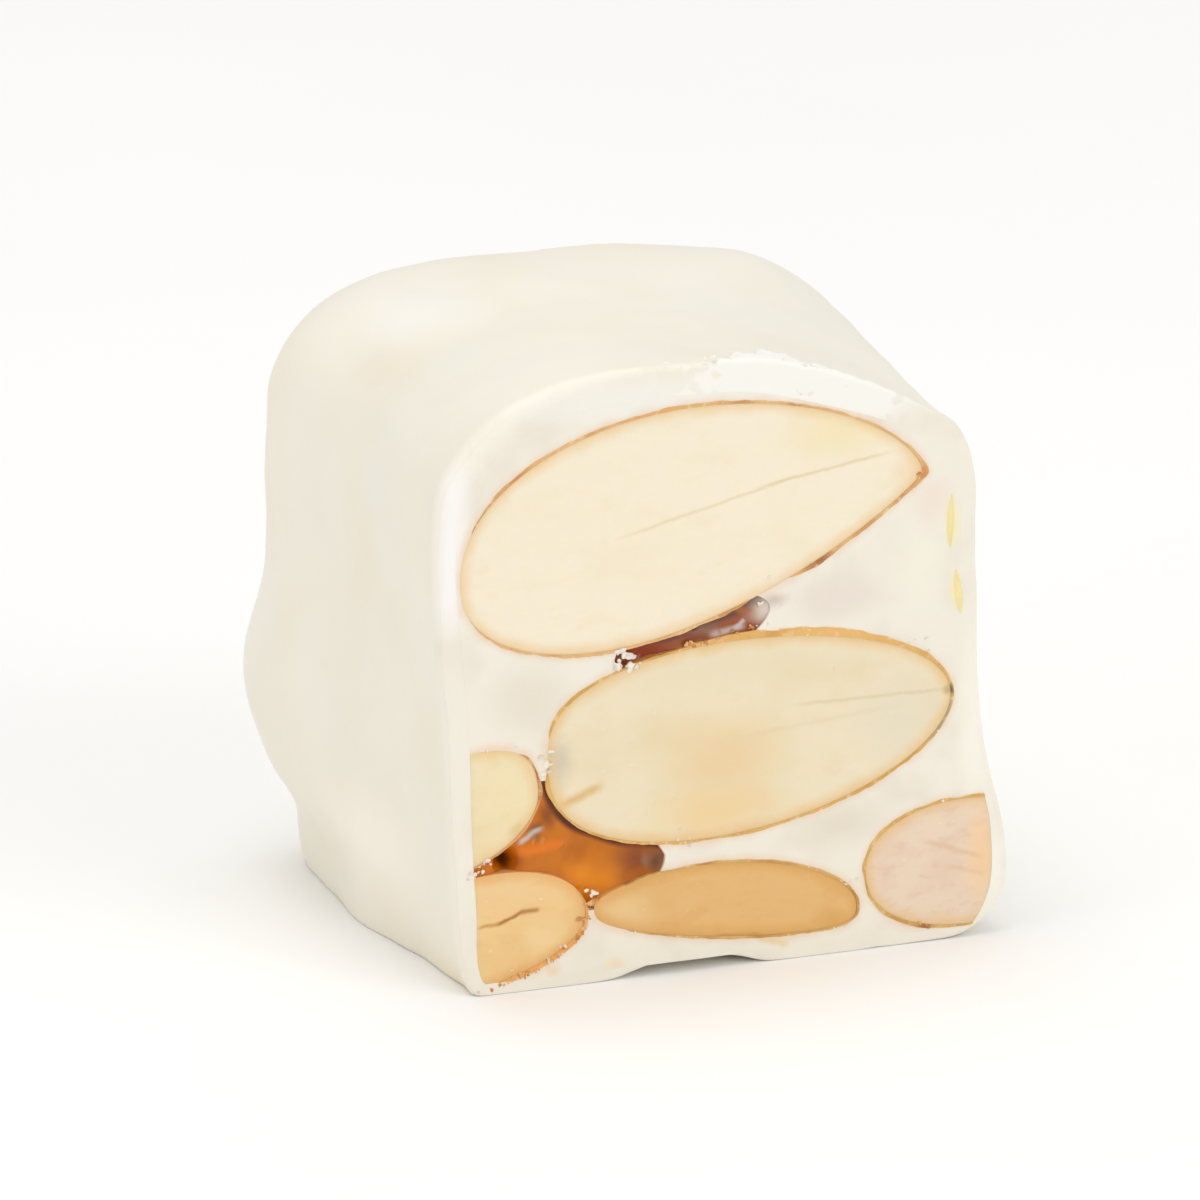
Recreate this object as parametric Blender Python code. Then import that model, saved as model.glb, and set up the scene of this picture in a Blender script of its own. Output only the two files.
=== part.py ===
"""Half of a piece of almond brittle in white chocolate, sliced open.

Whole almonds lie in a white filling, with golden caramel in the spaces between them, and a coat
of white chocolate runs round everything but the slice. Each of these is a solid of its own.

Metres, +Z up. The shapes are drawn from the slice: x runs across it from its lower left corner,
y goes from it into the piece, and z goes up from the surface that the piece stands on. The parent
empty then brings the middle of the piece's base to the world origin.
"""

import math
from dataclasses import dataclass

import bmesh
import bpy
from mathutils import Matrix, Vector

MM = 0.001

# The coated piece
DEPTH = 23.8 * MM                # from the slice to the back
BELLY_DEPTH = 19.0 * MM          # where the outline has become the back one
AXIS_X = 12.0 * MM               # the outlines are drawn round this axis, which runs along y
AXIS_Z = 13.0 * MM
FRONT_STOCK = 6.0 * MM           # drawn in front of the slice, then cut away
ROUNDING = 7.0                   # power of the rounding: a larger one gives tighter edges
OUTER_CELLS = 24                 # squares along each edge of the outer surface
INNER_CELLS = 14

# The piece's outline at the slice, in mm, clockwise from its lower left corner. The lowest points
# lie below the flat base, which is cut afterwards.
SLICE_OUTLINE_MM = (
    (0.7, -0.5), (0.1, 3.0), (-0.4, 9.5), (-0.85, 16.0), (-0.95, 19.6), (-0.4, 22.2),
    (1.3, 24.3), (4.4, 25.7), (9.0, 26.3), (13.5, 26.2), (17.0, 25.2), (20.6, 23.7),
    (22.9, 22.3), (23.6, 20.3), (23.4, 16.0), (23.7, 11.0), (24.3, 7.4), (25.0, 4.0),
    (24.8, 1.2), (23.8, -0.4), (18.0, -0.6), (12.0, -0.6), (6.0, -0.6),
)

# The same towards the back: a belly low on the left side over a narrower foot, and fuller
# shoulders
BACK_OUTLINE_MM = (
    (0.8, -0.5), (0.3, 2.2), (-1.1, 4.9), (-2.1, 8.2), (-1.2, 13.2), (-0.9, 19.5),
    (-0.4, 22.2), (1.6, 24.9), (6.0, 26.4), (12.0, 26.7), (17.0, 26.3), (21.3, 25.0),
    (24.0, 23.5), (25.1, 21.0), (25.3, 15.0), (25.2, 9.0), (25.3, 4.0), (25.0, 1.2),
    (24.1, -0.4), (18.0, -0.6), (12.0, -0.6), (6.0, -0.6),
)

# Thickness of the coat
COAT_LEFT = 1.15 * MM
COAT_RIGHT = 0.8 * MM
COAT_TOP = 1.4 * MM
COAT_BASE = 0.5 * MM
COAT_BACK = 1.5 * MM

GAP = 0.25 * MM                  # clearance between neighbours, where the caramel film lies


@dataclass
class Lump:
    """A soft swelling of the surface, or a hollow where the height is negative, in mm."""
    centre: tuple
    radius: float
    height: float


COAT_LUMPS = (
    Lump((-1.0, 6.5, 22.0), 2.6, 0.25),      # ridge running down the upper left side
    Lump((-1.0, 13.0, 17.0), 3.2, -0.35),    # hollow behind it
    Lump((-1.0, 1.5, 18.5), 2.4, -0.2),
    Lump((-1.0, 9.5, 10.5), 3.0, 0.2),
    Lump((0.0, 10.0, 0.5), 5.0, 0.55),       # foot spread where the coat ran down
    Lump((4.0, 12.5, 26.5), 2.6, 0.25),      # two rises on the top's left side
    Lump((4.5, 1.5, 26.0), 2.8, 0.15),
    Lump((13.0, 8.0, 26.5), 5.0, -0.35),     # shallow dish in the top
    Lump((25.0, 8.0, 17.0), 4.0, -0.3),
    Lump((25.5, 17.0, 9.0), 4.0, 0.3),
    Lump((5.0, 24.0, 19.0), 4.0, 0.3),
    Lump((19.0, 24.0, 18.0), 4.5, -0.3),
    Lump((18.0, 24.0, 5.0), 4.0, 0.3),
    Lump((10.2, 0.0, -0.6), 2.6, -0.8),      # arches under the slice's lower edge
    Lump((22.6, 0.0, -0.6), 2.4, -0.8),
)


@dataclass
class Seed:
    """A long rounded body with one blunt and one narrow end, cut lengthwise by the slice, in mm.

    upper and lower are (height, blunt, narrow): the greatest height over the line from the blunt
    end to the tip, and the powers that shape each end. A smaller power gives a fuller end.
    """
    blunt_end: tuple
    tip: tuple
    upper: tuple
    lower: tuple
    half_width: float


ALMONDS = {
    "almond_top": Seed((0.35, 17.2), (21.1, 20.6), (5.6, 0.46, 0.62), (3.95, 0.52, 0.9), 6.6),
    "almond_middle": Seed((4.2, 9.4), (22.4, 10.9), (4.1, 0.34, 0.5), (4.3, 0.4, 0.52), 6.4),
    "almond_left": Seed((3.75, 8.9), (-4.6, 7.4), (2.2, 0.32, 0.5), (2.8, 0.5, 0.4), 5.0),
    "almond_lower_left": Seed((5.8, 3.5), (-5.0, 1.0), (2.8, 0.5, 0.5), (2.05, 0.42, 0.6), 5.2),
    "almond_bottom": Seed((18.15, 1.85), (6.25, 3.4), (1.95, 0.5, 0.7), (1.3, 0.36, 0.3), 5.6),
    "almond_right": Seed((18.55, 3.4), (29.0, 3.8), (2.55, 0.5, 0.7), (3.0, 0.43, 0.5), 5.4),
}

CARAMEL = {
    "caramel_pocket": Seed((9.2, 5.2), (1.1, 5.5), (3.4, 0.9, 0.5), (1.9, 0.5, 0.6), 3.6),
    "caramel_seam": Seed((7.4, 13.9), (13.9, 15.45), (1.1, 0.6, 0.55), (1.1, 0.55, 0.55), 3.6),
}

SEED_SIDES = 20                  # round a seed
SEED_RINGS = 14                  # along it

# Colours as sRGB hex, with roughness
COAT_FINISH = ("F0ECDD", 0.38)
FILLING_FINISH = ("F5F2EC", 0.55)
CARAMEL_FINISH = ("B4601C", 0.15)
ALMOND_FINISHES = {
    "almond_top": ("F3EAD0", 0.5),
    "almond_middle": ("EBDFB8", 0.5),
    "almond_left": ("EEDCB0", 0.5),
    "almond_lower_left": ("EFCF98", 0.5),
    "almond_bottom": ("E4B876", 0.5),
    "almond_right": ("EBD6C2", 0.55),
}


def clear_scene():
    for old in list(bpy.data.objects):
        bpy.data.objects.remove(old)


def linear(channel):
    """One sRGB channel, 0 to 1, as the linear value that a shader takes."""
    if channel <= 0.04045:
        return channel / 12.92
    return ((channel + 0.055) / 1.055) ** 2.4


def make_material(name, finish):
    code, roughness = finish
    channels = [linear(int(code[i:i + 2], 16) / 255) for i in (0, 2, 4)]
    material = bpy.data.materials.new(name)
    material.use_nodes = True
    shader = material.node_tree.nodes["Principled BSDF"]
    shader.inputs["Base Color"].default_value = (*channels, 1.0)
    shader.inputs["Roughness"].default_value = roughness
    shader.inputs["Metallic"].default_value = 0.0
    return material


def add_object(name, bm, finish, parent):
    """Turns a bmesh into a named object under the parent empty, with its faces pointing out."""
    bmesh.ops.recalc_face_normals(bm, faces=bm.faces[:])
    if bm.calc_volume(signed=True) < 0:
        bmesh.ops.reverse_faces(bm, faces=bm.faces[:])
    mesh = bpy.data.meshes.new(name)
    bm.to_mesh(mesh)
    bm.free()
    mesh.shade_smooth()
    mesh.set_sharp_from_angle(angle=math.radians(40))
    mesh.materials.append(make_material(name, finish))
    thing = bpy.data.objects.new(name, mesh)
    bpy.context.collection.objects.link(thing)
    thing.parent = parent
    return thing


def add_cutter(name, bm, parent):
    cutter = add_object(name, bm, COAT_FINISH, parent)
    cutter.hide_render = True
    cutter.display_type = "WIRE"
    return cutter


def combine(target, cutter, operation, solver="EXACT"):
    cut = target.modifiers.new(cutter.name, "BOOLEAN")
    cut.operation = operation
    cut.solver = solver
    cut.object = cutter


def carve(target, cutter):
    combine(target, cutter, "DIFFERENCE")


def carve_socket(target, cutter):
    """Takes a socket out. EXACT fails on some of these in one build and not in the next."""
    combine(target, cutter, "DIFFERENCE", solver="MANIFOLD")


def keep_inside(target, cutter):
    combine(target, cutter, "INTERSECT")


def polar(outline):
    """An outline as (angle, radius) round the axis, with two points repeated past each end."""
    points = []
    for x, z in outline:
        across = x * MM - AXIS_X
        up = z * MM - AXIS_Z
        points.append((math.atan2(up, across), math.hypot(across, up)))
    points.sort()
    turn = 2 * math.pi
    before = [(angle - turn, radius) for angle, radius in points[-2:]]
    after = [(angle + turn, radius) for angle, radius in points[:2]]
    return before + points + after


def outline_radius(points, angle):
    """Radius of the outline at an angle, on a smooth curve through its points."""
    i = 1
    while points[i + 1][0] < angle:
        i += 1
    (a0, r0), (a1, r1), (a2, r2), (a3, r3) = points[i - 1:i + 3]
    span = a2 - a1
    slopes = ((r1 - r0) / (a1 - a0), (r2 - r1) / span, (r3 - r2) / (a3 - a2))
    start = (slopes[0] * span + slopes[1] * (a1 - a0)) / (a2 - a0)
    end = (slopes[1] * (a3 - a2) + slopes[2] * span) / (a3 - a1)
    t = (angle - a1) / span
    s = 1 - t
    return (r1 * s * s * (1 + 2 * t) + r2 * t * t * (1 + 2 * s)
            + span * t * s * (start * s - end * t))


def coat_thickness(angle):
    """The coat's thickness in a direction from the axis, from its sides' and its top's."""
    across = math.cos(angle)
    up = max(math.sin(angle), 0.0)
    side = COAT_LEFT + (COAT_RIGHT - COAT_LEFT) * (1 + across) / 2
    return side + (COAT_TOP - side) * up ** 2


def power_sum(*values):
    return sum(abs(value) ** ROUNDING for value in values)


def rounded_body(cells, depth, inset):
    """The piece's closed form, drawn inwards by inset(angle), before anything is cut."""
    slice_points = polar(SLICE_OUTLINE_MM)
    back_points = polar(BACK_OUTLINE_MM)
    bm = bmesh.new()
    bmesh.ops.create_cube(bm, size=2.0)
    bmesh.ops.subdivide_edges(bm, edges=bm.edges[:], cuts=cells - 1, use_grid_fill=True)
    for vert in bm.verts:
        rounded = vert.co / power_sum(*vert.co) ** (1 / ROUNDING)
        y = depth - (depth + FRONT_STOCK) * (1 - rounded.y) / 2
        back = min(max(y / BELLY_DEPTH, 0.0), 1.0)
        back = back * back * (3 - 2 * back)
        angle = math.atan2(rounded.z, rounded.x)
        radius = ((1 - back) * outline_radius(slice_points, angle)
                  + back * outline_radius(back_points, angle) - inset(angle))
        edge = power_sum(math.cos(angle), math.sin(angle)) ** (-1 / ROUNDING)
        radius *= math.hypot(rounded.x, rounded.z) / edge
        vert.co = (AXIS_X + radius * math.cos(angle), y, AXIS_Z + radius * math.sin(angle))
    return bm


def swell(bm, lumps):
    """Moves the surface out over each lump and in over each hollow."""
    bm.normal_update()
    for vert in bm.verts:
        height = 0.0
        for lump in lumps:
            away = (vert.co - Vector(lump.centre) * MM).length / (lump.radius * MM)
            height += lump.height * MM * math.exp(-away ** 2)
        vert.co += vert.normal * height


def cut_flat(bm, point, outward):
    """Cuts off what lies beyond a plane and closes the cut with a flat face."""
    parts = bm.verts[:] + bm.edges[:] + bm.faces[:]
    cut = bmesh.ops.bisect_plane(bm, geom=parts, dist=1e-7, plane_co=point, plane_no=outward,
                                 clear_outer=True)
    rim = [part for part in cut["geom_cut"] if isinstance(part, bmesh.types.BMEdge)]
    if rim:
        bmesh.ops.contextual_create(bm, geom=rim)


def make_coat(parent):
    """The coat: the outer form, flat at the slice and at the base, less the block's hollow."""
    bm = rounded_body(OUTER_CELLS, DEPTH, lambda angle: 0.0)
    swell(bm, COAT_LUMPS)
    cut_flat(bm, (0, 0, 0), (0, -1, 0))
    cut_flat(bm, (0, 0, 0), (0, 0, -1))
    coat = add_object("coat", bm, COAT_FINISH, parent)
    carve(coat, add_cutter("coat_hollow", block_mesh(0.0), parent))
    return coat


def block_mesh(clearance):
    """The sawn block of brittle that the coat was poured over, drawn in by a clearance."""
    bm = rounded_body(INNER_CELLS, DEPTH - COAT_BACK - clearance,
                      lambda angle: coat_thickness(angle) + clearance)
    cut_flat(bm, (0, 0, COAT_BASE + clearance), (0, 0, -1))
    return bm


def make_filling(parent):
    """The filling, before the almonds and the caramel are taken out of it."""
    bm = block_mesh(GAP)
    cut_flat(bm, (0, 0, 0), (0, -1, 0))
    return add_object("filling", bm, FILLING_FINISH, parent)


def end_profile(along, blunt, narrow):
    """Height of a seed along its length, from 0 at the blunt end through 1 to 0 at the tip."""
    widest = blunt / (blunt + narrow)
    return (along / widest) ** blunt * ((1 - along) / (1 - widest)) ** narrow


def seed_mesh(seed, grow=0.0):
    """A whole seed, swollen by grow all round."""
    blunt_end = Vector((seed.blunt_end[0], 0, seed.blunt_end[1])) * MM
    tip = Vector((seed.tip[0], 0, seed.tip[1])) * MM
    lengthwise = (tip - blunt_end).normalized()
    upwards = Vector((-lengthwise.z, 0, lengthwise.x))
    if upwards.z < 0:
        upwards = -upwards
    start = blunt_end - lengthwise * grow
    length = (tip - blunt_end).length + 2 * grow
    half_side = Matrix.Rotation(math.pi / SEED_SIDES, 4, "Z")    # no corner lies in the slice
    bm = bmesh.new()
    bmesh.ops.create_uvsphere(bm, u_segments=SEED_SIDES, v_segments=SEED_RINGS, radius=1.0,
                              matrix=half_side)
    for vert in bm.verts:
        along = min(max((1 - vert.co.z) / 2, 0.0), 1.0)
        ring = math.hypot(vert.co.x, vert.co.y)
        if ring < 1e-6:
            vert.co = start + lengthwise * (length * round(along))
            continue
        side = vert.co.x / ring
        rise = vert.co.y / ring
        height, blunt, narrow = seed.upper if rise >= 0 else seed.lower
        profile = end_profile(along, blunt, narrow)
        middle = end_profile(along, seed.lower[1], seed.lower[2])
        vert.co = (start + lengthwise * (length * along)
                   + upwards * (rise * (height * MM + grow) * profile)
                   + Vector((0, side * (seed.half_width * MM + grow) * middle, 0)))
    return bm


def make_almond(name, seed, block, parent):
    """An almond cut by the slice, and sawn off where it reached a side of the block."""
    bm = seed_mesh(seed)
    cut_flat(bm, (0, 0, 0), (0, -1, 0))
    keep_inside(add_object(name, bm, ALMOND_FINISHES[name], parent), block)


def make_caramel(name, seed, parent):
    """Caramel that fills the space between almonds, before they are taken out of it."""
    bm = seed_mesh(seed)
    cut_flat(bm, (0, 0, 0), (0, -1, 0))
    return add_object(name, bm, CARAMEL_FINISH, parent)


def centre_on_base(thing, parent):
    """Moves everything so that the middle of the thing's base is at the world origin."""
    corners = [vert.co for vert in thing.data.vertices]
    middle_x = (min(c.x for c in corners) + max(c.x for c in corners)) / 2
    middle_y = (min(c.y for c in corners) + max(c.y for c in corners)) / 2
    parent.location = (-middle_x, -middle_y, 0)


def main():
    clear_scene()
    piece = bpy.data.objects.new("brittle_half", None)
    bpy.context.collection.objects.link(piece)

    coat = make_coat(piece)
    filling = make_filling(piece)
    caramels = [make_caramel(name, seed, piece) for name, seed in CARAMEL.items()]
    block = add_cutter("block", block_mesh(GAP), piece)
    for name, seed in ALMONDS.items():
        make_almond(name, seed, block, piece)
        socket = add_cutter(name + "_socket", seed_mesh(seed, GAP), piece)
        for neighbour in [filling, *caramels]:
            carve_socket(neighbour, socket)
    for name, seed in CARAMEL.items():
        carve_socket(filling, add_cutter(name + "_socket", seed_mesh(seed, GAP), piece))

    centre_on_base(coat, piece)


main()
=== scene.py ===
import math
import random
from dataclasses import dataclass

import bmesh
import bpy
from mathutils import Matrix, Vector, noise
from mathutils.kdtree import KDTree


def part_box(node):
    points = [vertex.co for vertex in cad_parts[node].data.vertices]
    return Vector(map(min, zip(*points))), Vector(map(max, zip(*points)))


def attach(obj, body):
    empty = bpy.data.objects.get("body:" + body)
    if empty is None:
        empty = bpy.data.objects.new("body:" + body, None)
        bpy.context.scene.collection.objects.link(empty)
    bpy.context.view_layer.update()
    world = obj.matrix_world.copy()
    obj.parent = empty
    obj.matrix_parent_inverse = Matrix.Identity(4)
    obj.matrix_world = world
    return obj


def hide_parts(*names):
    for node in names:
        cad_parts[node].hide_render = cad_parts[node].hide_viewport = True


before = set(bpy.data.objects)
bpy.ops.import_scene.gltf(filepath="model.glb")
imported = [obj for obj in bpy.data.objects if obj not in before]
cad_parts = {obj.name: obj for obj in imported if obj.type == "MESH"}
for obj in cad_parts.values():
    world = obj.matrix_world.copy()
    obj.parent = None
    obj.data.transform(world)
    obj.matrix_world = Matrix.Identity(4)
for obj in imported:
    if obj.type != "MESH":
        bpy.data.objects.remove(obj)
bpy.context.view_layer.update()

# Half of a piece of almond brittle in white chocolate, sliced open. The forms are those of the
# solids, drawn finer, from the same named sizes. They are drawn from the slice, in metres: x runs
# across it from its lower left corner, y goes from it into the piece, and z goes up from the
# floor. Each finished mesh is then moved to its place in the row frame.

MM = 0.001
SLICE_CORNER = Vector((-11.7153 * MM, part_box("coat")[0].y, 0.0))

# ---------------------------------------------------------------- the piece's form

DEPTH = 23.8 * MM
BELLY_DEPTH = 19.0 * MM
AXIS_X = 12.0 * MM
AXIS_Z = 13.0 * MM
FRONT_STOCK = 6.0 * MM
ROUNDING = 7.0

SLICE_OUTLINE_MM = (
    (0.7, -0.5), (0.1, 3.0), (-0.4, 9.5), (-0.85, 16.0), (-0.95, 19.6), (-0.4, 22.2),
    (1.3, 24.3), (4.4, 25.7), (9.0, 26.3), (13.5, 26.2), (17.0, 25.2), (20.6, 23.7),
    (22.9, 22.3), (23.6, 20.3), (23.4, 16.0), (23.7, 11.0), (24.3, 7.4), (25.0, 4.0),
    (24.8, 1.2), (23.8, -0.4), (18.0, -0.6), (12.0, -0.6), (6.0, -0.6),
)
BACK_OUTLINE_MM = (
    (0.8, -0.5), (0.3, 2.2), (-1.1, 4.9), (-2.1, 8.2), (-1.2, 13.2), (-0.9, 19.5),
    (-0.4, 22.2), (1.6, 24.9), (6.0, 26.4), (12.0, 26.7), (17.0, 26.3), (21.3, 25.0),
    (24.0, 23.5), (25.1, 21.0), (25.3, 15.0), (25.2, 9.0), (25.3, 4.0), (25.0, 1.2),
    (24.1, -0.4), (18.0, -0.6), (12.0, -0.6), (6.0, -0.6),
)

COAT_LEFT = 1.15 * MM
COAT_RIGHT = 0.8 * MM
COAT_TOP = 1.4 * MM
COAT_BASE = 0.5 * MM
COAT_BACK = 1.5 * MM
GAP = 0.25 * MM


@dataclass
class Lump:
    """A soft swelling of a surface, or a hollow where the height is negative, in mm."""
    centre: tuple
    radius: float
    height: float

    def at(self, point):
        away = (point - Vector(self.centre) * MM).length / (self.radius * MM)
        return self.height * MM * math.exp(-away ** 2)


COAT_LUMPS = (
    Lump((-1.0, 6.5, 22.0), 2.6, 0.25),
    Lump((-1.0, 13.0, 17.0), 3.2, -0.35),
    Lump((-1.0, 1.5, 18.5), 2.4, -0.2),
    Lump((-1.0, 9.5, 10.5), 3.0, 0.2),
    Lump((0.0, 10.0, 0.5), 5.0, 0.55),
    Lump((4.0, 12.5, 26.5), 2.6, 0.25),
    Lump((4.5, 1.5, 26.0), 2.8, 0.15),
    Lump((13.0, 8.0, 26.5), 5.0, -0.35),
    Lump((25.0, 8.0, 17.0), 4.0, -0.3),
    Lump((25.5, 17.0, 9.0), 4.0, 0.3),
    Lump((5.0, 24.0, 19.0), 4.0, 0.3),
    Lump((19.0, 24.0, 18.0), 4.5, -0.3),
    Lump((18.0, 24.0, 5.0), 4.0, 0.3),
    Lump((10.2, 0.0, -0.6), 2.6, -0.8),
    Lump((22.6, 0.0, -0.6), 2.4, -0.8),
)

# What the finer surface adds to them
COAT_RIPPLES = (
    Lump((0.6, 1.5, -0.4), 2.2, -0.4),
    Lump((0.0, 6.0, -0.4), 2.6, -0.6),
    Lump((-0.2, 9.2, 0.1), 1.8, -0.3),
    Lump((8.0, 0.0, -0.6), 2.0, -0.36),
    Lump((13.0, 0.0, -0.6), 1.9, -0.55),
    Lump((19.3, 0.0, -0.6), 0.9, -0.3),
    Lump((20.9, 0.0, -0.6), 2.2, -0.4),
    Lump((-0.6, 7.6, 24.0), 1.1, 0.1),
    Lump((-1.0, 5.2, 20.2), 1.3, 0.1),
    Lump((-1.0, 3.4, 19.6), 1.2, -0.08),
    Lump((3.6, 14.2, 26.3), 1.2, 0.08),
    Lump((23.5, 0.0, 14.2), 3.2, 0.33),
    Lump((23.7, 0.0, 18.6), 1.8, -0.2),
    Lump((25.0, 0.0, 3.4), 3.2, 0.25),
    Lump((19.6, 16.0, 26.0), 3.2, 0.4),
    Lump((21.4, 18.2, 25.1), 2.8, 0.45),
    Lump((0.3, 18.5, 23.5), 3.0, 0.6),
    Lump((4.6, 19.5, 26.2), 2.4, 0.22),
)


@dataclass
class Seed:
    """A long rounded body with one blunt and one narrow end, cut lengthwise by the slice, in mm.

    upper and lower are (height, blunt, narrow): the greatest height over the line from the blunt
    end to the tip, and the powers that shape each end. A smaller power gives a fuller end.
    """
    blunt_end: tuple
    tip: tuple
    upper: tuple
    lower: tuple
    half_width: float


# The ends, heights and powers of the almonds come from a least-squares fit of this form to points
# on their outlines in the slice, rounded. Those of the lower left one were given, and those
# of the left and bottom ones were changed after the fit.
ALMONDS = {
    "almond_top": Seed((0.35, 17.2), (21.1, 20.6), (5.6, 0.46, 0.62), (3.95, 0.52, 0.9), 6.6),
    "almond_middle": Seed((4.2, 9.4), (22.4, 10.9), (4.1, 0.34, 0.5), (4.3, 0.4, 0.52), 6.4),
    "almond_left": Seed((3.75, 8.9), (-4.6, 7.4), (2.2, 0.32, 0.5), (2.8, 0.5, 0.4), 5.0),
    "almond_lower_left": Seed((5.8, 3.5), (-5.0, 1.0), (2.8, 0.5, 0.5), (2.05, 0.42, 0.6), 5.2),
    "almond_bottom": Seed((18.15, 1.85), (6.25, 3.4), (1.95, 0.5, 0.7), (1.3, 0.36, 0.3), 5.6),
    "almond_right": Seed((18.55, 3.4), (29.0, 3.8), (2.55, 0.5, 0.7), (3.0, 0.43, 0.5), 5.4),
}
CARAMEL = {
    "caramel_pocket": Seed((9.2, 5.2), (1.1, 5.5), (3.4, 0.9, 0.5), (1.9, 0.5, 0.6), 3.6),
    "caramel_seam": Seed((7.4, 13.9), (13.9, 15.45), (1.1, 0.6, 0.55), (1.1, 0.55, 0.55), 3.6),
}

# How fine the meshes are
COAT_ACROSS = 140
COAT_DEEP = 90
HOLLOW_ACROSS = 90
BLOCK_ACROSS = 140
BLOCK_DEEP = 24
LARGE_SEED = (128, 170)          # sides and rings
SMALL_SEED = (96, 110)

SLICE_FADE = 2.0 * MM            # the slice's relief dies out this far behind it
HOLLOW_FADE = 2.2 * SLICE_FADE   # and that of a sunken surface this far
OVERLAP = 0.02 * MM              # the filling reaches this far into the coat
BLOCK_RUN_ON = 3 * MM            # a block that cuts through the slice starts this far in front
FILLING_LIFT = 0.008 * MM        # how far each stands in front of the almonds' cut flesh
SLIVER_LIFT = 0.02 * MM
SKIN_LIFT = 0.03 * MM
RIM_BAND = 0.3 * MM              # down to here a rim's distance is measured as in the slice
CRUMB_LIFT = 0.02 * MM           # a crumb's middle lies this far in front of the sawn surface
SHARP_EDGE = math.radians(50)


def smoothstep(value):
    value = min(max(value, 0.0), 1.0)
    return value * value * (3 - 2 * value)


def grain(point, size, shift=0.0):
    """Soft noise from -1 to 1 with features of a size in mm."""
    return noise.noise(point / (size * MM) + Vector((shift, shift * 1.7, shift * 0.6)))


def slice_relief(x, z):
    """How far the sawn surface lies behind the slice plane, in metres."""
    point = Vector((x, 0, z))
    along_blade = Vector((x * 0.16, 0, z))
    waves = 0.05 * grain(point, 6.0) + 0.018 * grain(point, 1.3, 3.0)
    scores = 0.007 * grain(along_blade, 0.32, 7.0)
    return (0.13 + waves + scores) * MM


def polar(outline):
    """An outline as (angle, radius) round the axis, with two points repeated past each end."""
    points = []
    for x, z in outline:
        across = x * MM - AXIS_X
        up = z * MM - AXIS_Z
        points.append((math.atan2(up, across), math.hypot(across, up)))
    points.sort()
    turn = 2 * math.pi
    before = [(angle - turn, radius) for angle, radius in points[-2:]]
    after = [(angle + turn, radius) for angle, radius in points[:2]]
    return before + points + after


def outline_radius(points, angle):
    """Radius of the outline at an angle, on a smooth curve through its points."""
    i = 1
    while points[i + 1][0] < angle:
        i += 1
    (a0, r0), (a1, r1), (a2, r2), (a3, r3) = points[i - 1:i + 3]
    span = a2 - a1
    slopes = ((r1 - r0) / (a1 - a0), (r2 - r1) / span, (r3 - r2) / (a3 - a2))
    start = (slopes[0] * span + slopes[1] * (a1 - a0)) / (a2 - a0)
    end = (slopes[1] * (a3 - a2) + slopes[2] * span) / (a3 - a1)
    t = (angle - a1) / span
    s = 1 - t
    return (r1 * s * s * (1 + 2 * t) + r2 * t * t * (1 + 2 * s)
            + span * t * s * (start * s - end * t))


def coat_thickness(angle):
    across = math.cos(angle)
    up = max(math.sin(angle), 0.0)
    side = COAT_LEFT + (COAT_RIGHT - COAT_LEFT) * (1 + across) / 2
    return side + (COAT_TOP - side) * up ** 2


def power_sum(*values):
    return sum(abs(value) ** ROUNDING for value in values)


def gridded_cube(across, deep):
    """A cube of size 2 with one number of cells across x and z and another along y."""
    bm = bmesh.new()
    bmesh.ops.create_cube(bm, size=2.0)
    for axis, cells in ((0, across), (2, across), (1, deep)):
        run = [edge for edge in bm.edges
               if abs(edge.verts[0].co[axis] - edge.verts[1].co[axis]) > 1.0]
        bmesh.ops.subdivide_edges(bm, edges=run, cuts=cells - 1, use_grid_fill=True)
    return bm


def piece_form(across, deep, depth, inset, edge_bias, rim_rounding=None):
    """The piece's closed form from the slice to the back, drawn inwards by inset(angle).

    edge_bias above 1 draws the cells together towards the slice's rim, and
    rim_rounding(angle) is the radius that rounds that rim.
    """
    half = (depth + FRONT_STOCK) / 2
    middle = depth - half
    slice_points = polar(SLICE_OUTLINE_MM)
    back_points = polar(BACK_OUTLINE_MM)
    bm = gridded_cube(across, deep)
    for vert in bm.verts:
        co = vert.co
        angle = math.atan2(co.z, co.x)
        if co.y > 0:
            rounded = co / power_sum(*co) ** (1 / ROUNDING)
            y = middle + half * rounded.y
            edge = power_sum(math.cos(angle), math.sin(angle)) ** (-1 / ROUNDING)
            share = math.hypot(rounded.x, rounded.z) / edge
        else:
            y = middle * max(1 + co.y, 0.0) ** edge_bias
            rim = max(abs(co.x), abs(co.z))
            share = (1 - abs((y - middle) / half) ** ROUNDING) ** (1 / ROUNDING)
            share *= 1 - max(1 - rim, 0.0) ** edge_bias
        back = smoothstep(y / BELLY_DEPTH)
        full = ((1 - back) * outline_radius(slice_points, angle)
                + back * outline_radius(back_points, angle) - inset(angle))
        radius = full * share
        if rim_rounding and co.y <= 0:
            rho = rim_rounding(angle)
            inwards = max(full - radius, 0.0) if co.y < -1 + 1e-6 else 0.0
            if inwards < rho and y < rho:
                a = rho - inwards
                b = rho - y
                reach = math.hypot(a, b)
                radius -= (rho - rho * a / reach) - inwards
                y = rho - rho * b / reach
        vert.co = (AXIS_X + radius * math.cos(angle), y, AXIS_Z + radius * math.sin(angle))
    return bm


def settle(bm, level, softness):
    """Flattens what lies below a level, with a soft edge."""
    for vert in bm.verts:
        over = vert.co.z - level
        if over < -softness:
            vert.co.z = level
        elif over < softness:
            vert.co.z = level + (over + softness) ** 2 / (4 * softness)


def rim_radius(angle):
    """The coat's edge at the slice is rounder on the left, where it ran, than on top, and
    roundest at the upper left corner."""
    left = smoothstep(-math.cos(angle))
    corner = math.exp(-((angle - math.radians(135)) / math.radians(24)) ** 2)
    return (0.24 + 0.42 * left + 0.4 * corner) * MM


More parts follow.
